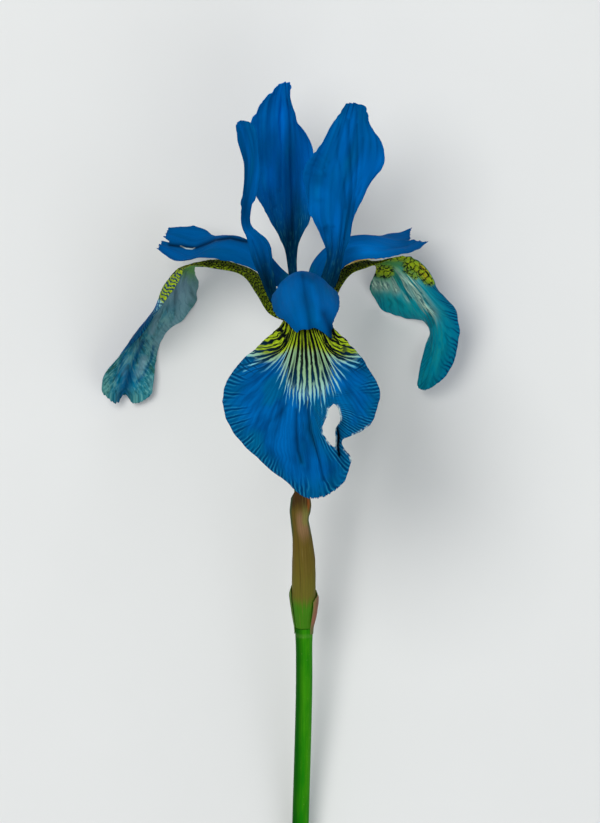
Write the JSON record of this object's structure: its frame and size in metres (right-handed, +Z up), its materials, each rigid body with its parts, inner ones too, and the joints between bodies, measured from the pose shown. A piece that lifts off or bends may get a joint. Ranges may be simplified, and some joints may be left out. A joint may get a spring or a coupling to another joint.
{
  "type": "iris flower",
  "caption": "Cut iris flower lying on its back: upright standards, drooping falls, toothed style arms, sheathing bracts and a round stem.",
  "frame": {"origin": "middle of the area that the lying flower covers, on the surface that it lies on", "axes": "+X across the flower, +Y from the cut stem to the tips of the standards, +Z up from the surface"},
  "size_m": [0.0798, 0.1802, 0.0717],
  "materials": {
    "fall": "soft satin petal, blue with a yellow and white veined signal",
    "standard": "soft satin petal, deep blue with darker veins",
    "style_arm": "soft satin, clear blue with a violet sheen",
    "stamen": "pale filament and dusty cream anther",
    "style_column": "smooth, pale blue green",
    "tube": "smooth, yellow green",
    "ovary": "smooth, green",
    "stem": "waxy satin green with fine ribs",
    "spathe": "papery, brown over green with fine veins",
    "bract": "dry papery, pinkish brown"
  },
  "bodies": {
    "root": {"fall_front": "fall", "fall_left": "fall", "fall_right": "fall", "standard_back": "standard", "standard_left": "standard", "standard_right": "standard", "style_arm_front": "style_arm", "style_arm_left": "style_arm", "style_arm_right": "style_arm", "stamen_front": "stamen", "stamen_left": "stamen", "stamen_right": "stamen", "style_column": "style_column", "perianth_tube": "tube", "ovary": "ovary", "pedicel": "ovary", "stem": "stem", "spathe": "spathe", "spathe_lower": "bract"}
  },
  "joints": []
}
